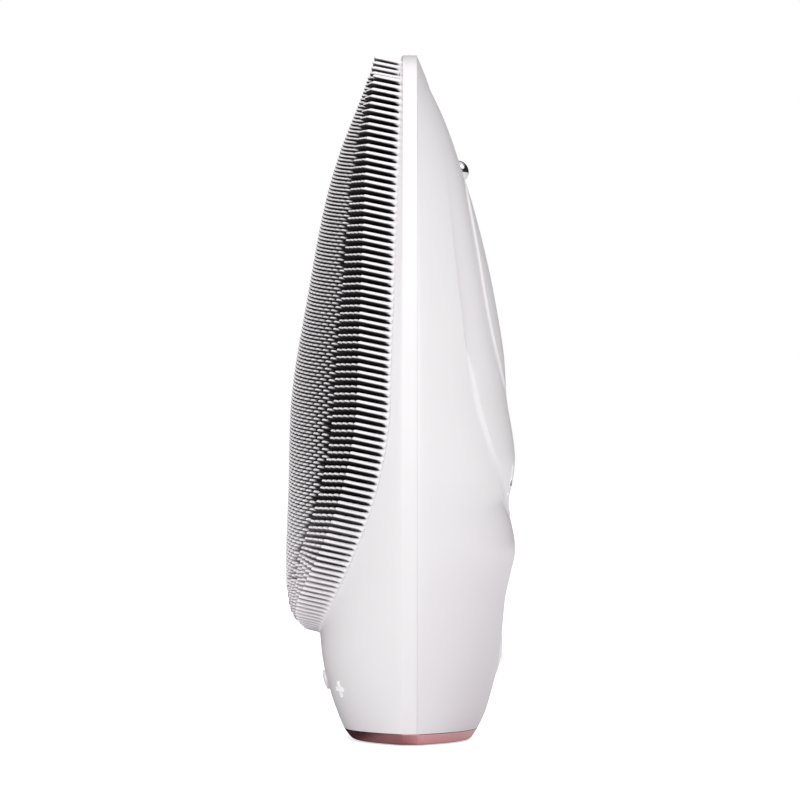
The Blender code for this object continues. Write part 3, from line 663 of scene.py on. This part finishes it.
def bristle_mesh(name, chosen):
    roots, lengths, rims, radii = [], [], [], []
    for x, z, ring in chosen:
        roots.append((x, front_face(x, z) + ROOT_SUNK, z))
        lengths.append(bristle_length(x, z, ring))
        rims.append(1.0 if ring == 0 else 0.0)
        radii.append(MIDDLE_R if ring < 0 else ROOT_R)
    roots, lengths, radii = np.array(roots), np.array(lengths), np.array(radii)
    lean = np.array([0, -math.cos(BRISTLE_TILT), math.sin(BRISTLE_TILT)])
    sideways = np.array([1.0, 0, 0])
    upward = np.cross(lean, sideways)
    turns = 2 * np.pi * np.arange(SIDES) / SIDES
    spokes = np.cos(turns)[:, None] * sideways + np.sin(turns)[:, None] * upward
    verts = np.empty((len(roots), len(ROD), SIDES, 3))
    for k, (rise, share) in enumerate(ROD):
        centre = roots + lean * (lengths * rise)[:, None]
        verts[:, k] = centre[:, None] + spokes[None] * (radii * share)[:, None, None]
    per = len(ROD) * SIDES
    faces = []
    for b in range(len(roots)):
        start = b * per
        for k in range(len(ROD) - 1):
            for s in range(SIDES):
                a, n = start + k * SIDES + s, start + k * SIDES + (s + 1) % SIDES
                faces.append((a, a + SIDES, n + SIDES, n))
        faces.append(tuple(start + s for s in range(SIDES)))
        faces.append(tuple(start + per - 1 - s for s in range(SIDES)))
    mesh = bpy.data.meshes.new(name)
    mesh.from_pydata((verts.reshape(-1, 3) * MM).tolist(), [], faces)
    rise = np.tile(np.repeat([share for share, _ in ROD], SIDES), len(roots)).astype(np.float32)
    mesh.attributes.new("rise", "FLOAT", "POINT").data.foreach_set("value", rise)
    rim = np.repeat(np.array(rims, np.float32), per)
    mesh.attributes.new("rim", "FLOAT", "POINT").data.foreach_set("value", rim)
    piece = new_piece(name, mesh, sharp=70)
    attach(piece, "casing")
    return piece


zones = {
    "bristles_rim": [b for b in planted if b[2] == 0],
    "bristles_rows_left": [b for b in planted if b[2] > 0 and b[0] < 0],
    "bristles_rows_right": [b for b in planted if b[2] > 0 and b[0] >= 0],
    "bristles_middle_low": [b for b in planted if b[2] < 0 and b[1] < LOW_ZONE],
    "bristles_middle": [b for b in planted if b[2] < 0 and LOW_ZONE <= b[1] < HIGH_ZONE],
    "bristles_middle_high": [b for b in planted if b[2] < 0 and b[1] >= HIGH_ZONE],
}
bristle_pieces = [bristle_mesh(name, chosen) for name, chosen in zones.items()]
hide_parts("brush_pad")
for piece in bristle_pieces:
    print(piece.name, "faces:", len(piece.data.polygons))

# %% [markdown]
# ## The massage ball
# A polished steel ball sits in a shallow dimple high on the back. Its silhouette is small but sharp, so
# it is a fine sphere, turned on the same centre as the working ball.

# %% Massage ball
def make_ball():
    bm = bmesh.new()
    bmesh.ops.create_uvsphere(bm, u_segments=64, v_segments=40, radius=BALL_R)
    bmesh.ops.translate(bm, vec=BALL_AT, verts=bm.verts)
    mesh = bpy.data.meshes.new("polished_ball")
    bm.to_mesh(mesh)
    bm.free()
    ball = new_piece("polished_ball", mesh, sharp=80)
    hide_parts("massage_ball")
    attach(ball, "ball")
    return ball


polished_ball = make_ball()
print("ball radius in mm:", round(BALL_R / MM, 2))

# %% [markdown]
# ## Marks
# The power key carries the usual sign, a broken ring with a bar. Beside each indicator light there is a
# thin ring and a bar. Such signs are printed in white ink, so they are strips a tenth of a millimetre
# high, laid on the curved face point by point.

# %% Printed marks
def arc_strip(radius, wide, start, stop, count=40):
    """The outline of part of a ring, in mm and degrees."""
    angles = [math.radians(start + (stop - start) * i / count) for i in range(count + 1)]
    far, near = radius + wide / 2, radius - wide / 2
    outer = [(far * math.cos(a), far * math.sin(a)) for a in angles]
    inner = [(near * math.cos(a), near * math.sin(a)) for a in reversed(angles)]
    return outer + inner


def drape(piece, matrix, face, outward):
    """Lay a flat mark on a curved face: each point keeps its height over the face."""
    inverse = matrix.inverted()
    for vert in piece.data.vertices:
        height = (inverse @ vert.co).z
        vert.co.y = face(vert.co.x / MM, vert.co.z / MM) * MM + outward * height


def power_top(x, z):
    return plain_back_face(x, z) + 0.62 - 0.48 * (math.hypot(x, z - POWER_Z) / POWER_R) ** 2


def mark(name, outline, x, z, face, body, high=0.1):
    place = surface_frame(x, z, face, 1)
    piece = prism(name, outline, 0.0, high, place)
    drape(piece, place, face, 1)
    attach(piece, body)
    return piece


marks = [
    mark("power_sign_ring", arc_strip(1.55, 0.34, 120, 420), 0, POWER_Z - 0.2, power_top, "power_key"),
    mark("power_sign_bar", bar(0.34, 1.7), 0, POWER_Z + 1.3, power_top, "power_key"),
]
for side, label in ((-1, "left"), (1, "right")):
    x = side * LIGHT_X
    ring, stroke, dot = arc_strip(0.9, 0.3, -50, 230), bar(0.36, 2.2), circle(0.3, 20)
    marks.append(mark("light_ring_" + label, ring, x, LIGHT_Z, back_face, "casing"))
    marks.append(mark("light_bar_" + label, stroke, x, LIGHT_Z + 2.2, back_face, "casing", high=0.09))
    marks.append(mark("light_dot_" + label, dot, x, LIGHT_Z - 2.0, back_face, "casing", high=0.09))
print("marks:", [piece.name for piece in marks])

# %% [markdown]
# ## Shared finishes
# Real moulded plastic is never one flat value: its gloss wanders a little, its colour shifts by a hair,
# and the surface has a fine grain. One node group gives all three, with the scale and strength as inputs.
# It puts out only what varies over the surface; constants stay on the shader.

# %% Node helpers
def new_group(name, inputs, outputs):
    group = bpy.data.node_groups.new(name, "ShaderNodeTree")
    for label, kind, value in inputs:
        socket = group.interface.new_socket(name=label, in_out="INPUT", socket_type=kind)
        socket.default_value = value
    for label, kind in outputs:
        group.interface.new_socket(name=label, in_out="OUTPUT", socket_type=kind)
    return group, group.nodes.new("NodeGroupInput"), group.nodes.new("NodeGroupOutput")


def noise(tree, coords, scale, detail=3.0):
    node = tree.nodes.new("ShaderNodeTexNoise")
    node.inputs["Detail"].default_value = detail
    if isinstance(scale, (int, float)):
        node.inputs["Scale"].default_value = scale
    else:
        tree.links.new(scale, node.inputs["Scale"])
    tree.links.new(coords, node.inputs["Vector"])
    return node.outputs["Fac"]


def blend_colours(tree, factor, first, second):
    node = tree.nodes.new("ShaderNodeMix")
    node.data_type = "RGBA"
    sockets = (node.inputs["Factor"], node.inputs["A"], node.inputs["B"])
    for source, socket in zip((factor, first, second), sockets):
        if isinstance(source, bpy.types.NodeSocket):
            tree.links.new(source, socket)
        else:
            socket.default_value = source
    return node.outputs["Result"]


def remap(tree, value, low, high):
    """Bring a 0..1 value into low..high; low and high may be sockets."""
    node = tree.nodes.new("ShaderNodeMapRange")
    tree.links.new(value, node.inputs["Value"])
    node.inputs["From Min"].default_value = 0.3
    node.inputs["From Max"].default_value = 0.7
    for source, label in ((low, "To Min"), (high, "To Max")):
        if isinstance(source, bpy.types.NodeSocket):
            tree.links.new(source, node.inputs[label])
        else:
            node.inputs[label].default_value = source
    return node.outputs["Result"]


def soft_mask(tree, value, low, high):
    """0 below low, 1 above high, with a soft step. low may be the larger one."""
    node = tree.nodes.new("ShaderNodeMapRange")
    node.interpolation_type = "SMOOTHSTEP"
    node.inputs["From Min"].default_value = low
    node.inputs["From Max"].default_value = high
    tree.links.new(value, node.inputs["Value"])
    return node.outputs["Result"]


def combine(tree, operation, first, second):
    """One step of arithmetic between two values."""
    node = tree.nodes.new("ShaderNodeMath")
    node.operation = operation
    for socket, source in zip(node.inputs, (first, second)):
        if isinstance(source, bpy.types.NodeSocket):
            tree.links.new(source, socket)
        else:
            socket.default_value = source
    return node.outputs[0]


print("groups so far:", len(bpy.data.node_groups))

# %% [markdown]
# ## The moulded surface
# A slow cloud mixes a light and a dark tone and moves the roughness with them, as it does where a
# moulding cooled unevenly. A fine grain goes out as a height, and each material turns it into a bump.

# %% A group for moulded surfaces
BUMP_DEEP = 0.0002


def moulded_group():
    inputs = [("Light", "NodeSocketColor", (1, 1, 1, 1)), ("Dark", "NodeSocketColor", (0.9, 0.9, 0.9, 1)),
              ("Cloud Scale", "NodeSocketFloat", 60.0), ("Grain Scale", "NodeSocketFloat", 2500.0),
              ("Smoothest", "NodeSocketFloat", 0.3), ("Roughest", "NodeSocketFloat", 0.45)]
    outputs = [("Colour", "NodeSocketColor"), ("Roughness", "NodeSocketFloat"), ("Grain", "NodeSocketFloat")]
    tree, entry, leave = new_group("moulded surface", inputs, outputs)
    coords = tree.nodes.new("ShaderNodeTexCoord").outputs["Object"]
    cloud = noise(tree, coords, entry.outputs["Cloud Scale"])
    grain = noise(tree, coords, entry.outputs["Grain Scale"], 2.0)
    tree.links.new(blend_colours(tree, cloud, entry.outputs["Light"], entry.outputs["Dark"]),
                   leave.inputs["Colour"])
    tree.links.new(remap(tree, cloud, entry.outputs["Smoothest"], entry.outputs["Roughest"]),
                   leave.inputs["Roughness"])
    tree.links.new(grain, leave.inputs["Grain"])
    return tree


MOULDED = moulded_group()


def moulded(name, light, dark, smooth, rough, metallic=0.0, bump=0.02, cloud=60.0, grain=2500.0, **sockets):
    """A material around the moulded group; sockets are constant values of the shader."""
    mat = bpy.data.materials.new(name)
    mat.use_nodes = True
    tree = mat.node_tree
    shader = tree.nodes["Principled BSDF"]
    group = tree.nodes.new("ShaderNodeGroup")
    group.node_tree = MOULDED
    group.inputs["Light"].default_value = (*light, 1)
    group.inputs["Dark"].default_value = (*dark, 1)
    group.inputs["Cloud Scale"].default_value = cloud
    group.inputs["Grain Scale"].default_value = grain
    group.inputs["Smoothest"].default_value = smooth
    group.inputs["Roughest"].default_value = rough
    relief = tree.nodes.new("ShaderNodeBump")
    relief.inputs["Strength"].default_value = bump
    relief.inputs["Distance"].default_value = BUMP_DEEP
    tree.links.new(group.outputs["Grain"], relief.inputs["Height"])
    tree.links.new(group.outputs["Colour"], shader.inputs["Base Color"])
    tree.links.new(group.outputs["Roughness"], shader.inputs["Roughness"])
    tree.links.new(relief.outputs["Normal"], shader.inputs["Normal"])
    shader.inputs["Metallic"].default_value = metallic
    for label, value in sockets.items():
        shader.inputs[label.replace("_", " ")].default_value = value
    return mat


print("group sockets:", [item.name for item in MOULDED.interface.items_tree])

# %% [markdown]
# ## Body finishes
# The casing is a pearl white under a thin clear coat. On the back its colour turns a mauve grey beside the
# creases and low on the flank, which is painted shade. The end cap is anodised rose gold. The ball is
# chrome.

# %% Casing, cap and ball materials
pearl = moulded("pearl white casing", (0.90, 0.885, 0.895), (0.86, 0.845, 0.858), 0.34, 0.42,
                Coat_Weight=0.25, Coat_Roughness=0.18, Specular_IOR_Level=0.42)
rose_gold = moulded("anodised rose gold", (0.80, 0.44, 0.455), (0.73, 0.375, 0.395), 0.20, 0.30,
                    metallic=1.0, bump=0.05)
chrome = moulded("polished chrome", (0.88, 0.88, 0.89), (0.82, 0.82, 0.84), 0.03, 0.07,
                 metallic=1.0, bump=0.0)
# The white of the keys and printed marks carries a faint emission, a painted glow.
ink_with_painted_glow = moulded("white key silicone with painted glow", (0.98, 0.98, 0.98), (0.94, 0.94, 0.94), 0.4, 0.5,
                  Emission_Color=(1, 1, 1, 1), Emission_Strength=0.12)


def add_attribute(tree, label):
    node = tree.nodes.new("ShaderNodeAttribute")
    node.attribute_name = label
    return node.outputs["Fac"]


def shade_by(mat, label, deep):
    """Blend a material's colour towards another tone where an attribute rises, such as a painted shade."""
    tree = mat.node_tree
    group = next(node for node in tree.nodes if node.type == "GROUP")
    colour = blend_colours(tree, add_attribute(tree, label), group.outputs["Colour"], (*deep, 1))
    tree.links.new(colour, tree.nodes["Principled BSDF"].inputs["Base Color"])


# Painted shade: the back turns a mauve grey where its shade attribute rises.
shade_by(pearl, "shade", (0.67, 0.635, 0.665))


def dress(piece, mat):
    piece.data.materials.clear()
    piece.data.materials.append(mat)


for piece in (front_casing, back_casing):
    dress(piece, pearl)
dress(end_cap, rose_gold)
dress(polished_ball, chrome)
for piece in marks:
    dress(piece, ink_with_painted_glow)
print("dressed the casing")

# %% [markdown]
# ## Silicone
# The bristles are translucent white silicone. Deep between them little light comes back, and that shade is
# painted: the skin they stand on is painted a dark mauve and each rod is painted dark up to its tip, by the
# rise attribute. The underside of each rod is painted darker than its upper side, and near the chin the
# painted shade is a paler mauve. The outer row stands in the open, so it is painted white from the root.

# %% Silicone materials
# Painted shade: where a rod's painted light begins and is full, and the painted shade tones deep in the pad
# and at the chin.
TIP_STARTS, TIP_FULL = 0.78, 0.90
CHIN_STARTS, CHIN_FULL = 0.046, 0.026
PAINTED_SHADE_DEEP, PAINTED_SHADE_CHIN = (0.02, 0.015, 0.018, 1), (0.42, 0.37, 0.41, 1)


def silicone_material():
    mat = moulded("bristle silicone", (0.95, 0.935, 0.95), (0.90, 0.885, 0.90), 0.42, 0.55, bump=0.0,
                  Specular_IOR_Level=0.3)
    tree = mat.node_tree
    group = next(node for node in tree.nodes if node.type == "GROUP")
    rise, rim = add_attribute(tree, "rise"), add_attribute(tree, "rim")
    facing = tree.nodes.new("ShaderNodeSeparateXYZ")
    tree.links.new(tree.nodes.new("ShaderNodeNewGeometry").outputs["Normal"], facing.inputs[0])
    place = tree.nodes.new("ShaderNodeSeparateXYZ")
    tree.links.new(tree.nodes.new("ShaderNodeTexCoord").outputs["Object"], place.inputs[0])
    # Painted light by direction: each rod's upper side, by its normal, is painted lit and its underside is
    # left in painted shade; the outer row and the rods low on the pad are painted lit further round.
    lower_half = combine(tree, "MULTIPLY", soft_mask(tree, place.outputs["Z"], 0.075, 0.03), 0.35)
    open_air = combine(tree, "ADD", combine(tree, "MULTIPLY", rim, 0.5), lower_half)
    upper_side = soft_mask(tree, combine(tree, "ADD", facing.outputs["Z"], open_air), -0.25, 0.45)
    tip = soft_mask(tree, rise, TIP_STARTS, TIP_FULL)
    reach = combine(tree, "MAXIMUM", tip, rim)
    under = combine(tree, "MULTIPLY", soft_mask(tree, rise, 0.22, 0.05), rim)
    lit = combine(tree, "MULTIPLY", reach, combine(tree, "MAXIMUM", upper_side, under))
    chin = soft_mask(tree, place.outputs["Z"], CHIN_STARTS, CHIN_FULL)
    deep = blend_colours(tree, chin, PAINTED_SHADE_DEEP, PAINTED_SHADE_CHIN)
    colour = blend_colours(tree, lit, deep, group.outputs["Colour"])
    tree.links.new(colour, tree.nodes["Principled BSDF"].inputs["Base Color"])
    return mat


bristle_silicone = silicone_material()
# The skin's near black is painted shade, the dark deep among the bristles; its outer band, by the rim
# attribute, keeps the white of the silicone.
skin_in_painted_shade = moulded("pad skin in painted shade", (0.045, 0.036, 0.04), (0.03, 0.025, 0.028), 0.6, 0.75)
shade_by(skin_in_painted_shade, "rim", (0.88, 0.86, 0.875))
dress(pad_skin, skin_in_painted_shade)
for piece in bristle_pieces:
    dress(piece, bristle_silicone)
print("dressed the pad")

# %% [markdown]
# ## The working parts
# What the casing hides still gets its own finish: nylon frame, boards, cell, motor, screws and seals.
# One material for each of the record's slots is enough, since each slot is one real material.

# %% Finishes of the working parts
SLOT_LOOKS = {
    "pearl": pearl,
    "silicone": ink_with_painted_glow,
    "rose_gold": rose_gold,
    "chrome": chrome,
    "steel": moulded("turned steel", (0.62, 0.63, 0.65), (0.50, 0.51, 0.53), 0.25, 0.4, metallic=1.0),
    "brass": moulded("turned brass", (0.80, 0.60, 0.28), (0.68, 0.50, 0.22), 0.25, 0.4, metallic=1.0),
    "gold_plate": moulded("gold plate", (0.90, 0.68, 0.34), (0.82, 0.60, 0.28), 0.15, 0.25, metallic=1.0),
    "nylon": moulded("natural nylon", (0.74, 0.75, 0.76), (0.66, 0.67, 0.69), 0.45, 0.6, bump=0.1),
    "board": moulded("solder mask", (0.04, 0.24, 0.11), (0.02, 0.16, 0.07), 0.3, 0.45, cloud=180.0),
    "black": moulded("black moulding", (0.04, 0.04, 0.045), (0.02, 0.02, 0.025), 0.4, 0.55, bump=0.1),
    "seal": moulded("grey rubber", (0.38, 0.37, 0.39), (0.30, 0.29, 0.31), 0.6, 0.8, bump=0.1),
    "cell": moulded("cell film", (0.38, 0.48, 0.66), (0.30, 0.40, 0.58), 0.25, 0.4),
    "lens": moulded("smoked lens", (0.22, 0.20, 0.22), (0.14, 0.13, 0.15), 0.12, 0.2),
    "wire": moulded("wire insulation", (0.58, 0.06, 0.05), (0.45, 0.04, 0.03), 0.4, 0.55),
}
node_slots = {part["node"]: part["material_slot"] for part in frame["record"]["subparts"]}
REPLACED = {"front_shell", "back_shell", "base_cap", "brush_pad", "massage_ball"}
for node, slot in node_slots.items():
    if node not in REPLACED:
        dress(frame["nodes"][node], SLOT_LOOKS[slot])
print("dressed", len(node_slots) - len(REPLACED), "working parts")

# %% [markdown]
# ## Studio
# The brush stands on a white floor in a white room. The room is bright where the camera looks, and a
# little dimmer in the other directions, so that the white body still shows its form. Mirrored rays see a
# darker floor and room, as black cards would give in a studio, so that the metals keep their contrast.

# %% Floor, room and lights
def make_floor():
    mesh = bpy.data.meshes.new("floor")
    reach = 3.0
    mesh.from_pydata([(-reach, -reach, 0), (reach, -reach, 0), (reach, reach, 0), (-reach, reach, 0)], [],
                     [(0, 1, 2, 3)])
    floor = bpy.data.objects.new("floor", mesh)
    floor.location.z = -0.0002
    bpy.context.scene.collection.objects.link(floor)
    mat = bpy.data.materials.new("white studio floor")
    mat.use_nodes = True
    tree = mat.node_tree
    shader = tree.nodes["Principled BSDF"]
    coords = tree.nodes.new("ShaderNodeTexCoord").outputs["Object"]
    cloud = noise(tree, coords, 14.0)
    white = blend_colours(tree, cloud, (0.82, 0.82, 0.82, 1), (0.80, 0.80, 0.80, 1))
    place = tree.nodes.new("ShaderNodeSeparateXYZ")
    tree.links.new(coords, place.inputs[0])
    path = tree.nodes.new("ShaderNodeLightPath")
    half_dark = blend_colours(tree, soft_mask(tree, place.outputs["Y"], 0.004, -0.002), white,
                              (0.42, 0.36, 0.37, 1))
    dark = blend_colours(tree, soft_mask(tree, place.outputs["Y"], -0.006, -0.012), half_dark,
                         (0.08, 0.05, 0.055, 1))
    mirrored = blend_colours(tree, path.outputs["Is Glossy Ray"], white, dark)
    tree.links.new(mirrored, shader.inputs["Base Color"])
    tree.links.new(remap(tree, cloud, 0.8, 0.9), shader.inputs["Roughness"])
    shader.inputs["Specular IOR Level"].default_value = 0.0
    tree.links.new(path.outputs["Is Camera Ray"], shader.inputs["Emission Strength"])
    shader.inputs["Emission Color"].default_value = (0.62, 0.62, 0.62, 1)
    floor.data.materials.append(mat)
    return floor


def make_room():
    world = bpy.data.worlds.new("white room")
    bpy.context.scene.world = world
    world.use_nodes = True
    tree = world.node_tree
    background = tree.nodes["Background"]
    coords = tree.nodes.new("ShaderNodeTexCoord").outputs["Generated"]
    split = tree.nodes.new("ShaderNodeSeparateXYZ")
    tree.links.new(coords, split.inputs["Vector"])
    height = soft_mask(tree, split.outputs["Z"], -0.6, 0.8)
    room = blend_colours(tree, height, (0.45, 0.422, 0.44, 1), (0.72, 0.706, 0.716, 1))
    open_side = combine(tree, "MAXIMUM", soft_mask(tree, split.outputs["X"], 0.45, 0.9),
                        soft_mask(tree, split.outputs["Z"], 0.5, 0.9))
    mirrored = blend_colours(tree, open_side, (0.03, 0.027, 0.03, 1), (0.85, 0.84, 0.85, 1))
    path = tree.nodes.new("ShaderNodeLightPath")
    lit = blend_colours(tree, path.outputs["Is Glossy Ray"], room, mirrored)
    seen = blend_colours(tree, path.outputs["Is Camera Ray"], lit, (1, 1, 1, 1))
    tree.links.new(seen, background.inputs["Color"])


def softbox(name, place, aim, size, power, colour=(1, 1, 1)):
    light = bpy.data.lights.new(name, "AREA")
    light.shape = "RECTANGLE"
    light.size, light.size_y = size
    light.energy = power
    light.color = colour
    lamp = bpy.data.objects.new(name, light)
    lamp.location = place
    lamp.rotation_euler = (Vector(aim) - Vector(place)).to_track_quat("-Z", "Y").to_euler()
    bpy.context.scene.collection.objects.link(lamp)
    return lamp


MIDDLE = (0, 0, 0.062)
floor = make_floor()
make_room()
lamps = [
    softbox("key_softbox", (1.1, -0.15, 0.5), MIDDLE, (0.7, 0.8), 3.8),
    softbox("back_softbox", (0.3, 0.8, 0.95), MIDDLE, (0.6, 0.6), 3.4),
    softbox("front_softbox", (0.7, -0.8, 0.7), MIDDLE, (0.6, 0.6), 2.2),
]
bpy.context.scene.view_settings.view_transform = "Standard"
print("lamps:", [lamp.name for lamp in lamps])

# %% [markdown]
# ## Camera
# The camera looks square at the brush's side, at half its height, through a long lens, so that the near
# edge of the foot drops only a little below the far one.

# %% Camera
CAMERA_FAR = 1.0
SEEN_WIDE = 0.1476
SEEN_Y, SEEN_Z = -0.00185, 0.0622
SENSOR = 36.0

camera_data = bpy.data.cameras.new("side_camera")
camera_data.sensor_width = SENSOR
camera_data.lens = SENSOR * CAMERA_FAR / SEEN_WIDE
camera_data.clip_start = 0.01
camera = bpy.data.objects.new("side_camera", camera_data)
camera.location = (CAMERA_FAR, SEEN_Y, SEEN_Z)
camera.rotation_euler = (math.pi / 2, 0, math.pi / 2)
bpy.context.scene.collection.objects.link(camera)
bpy.context.scene.camera = camera
print("lens in mm:", round(camera_data.lens, 1))
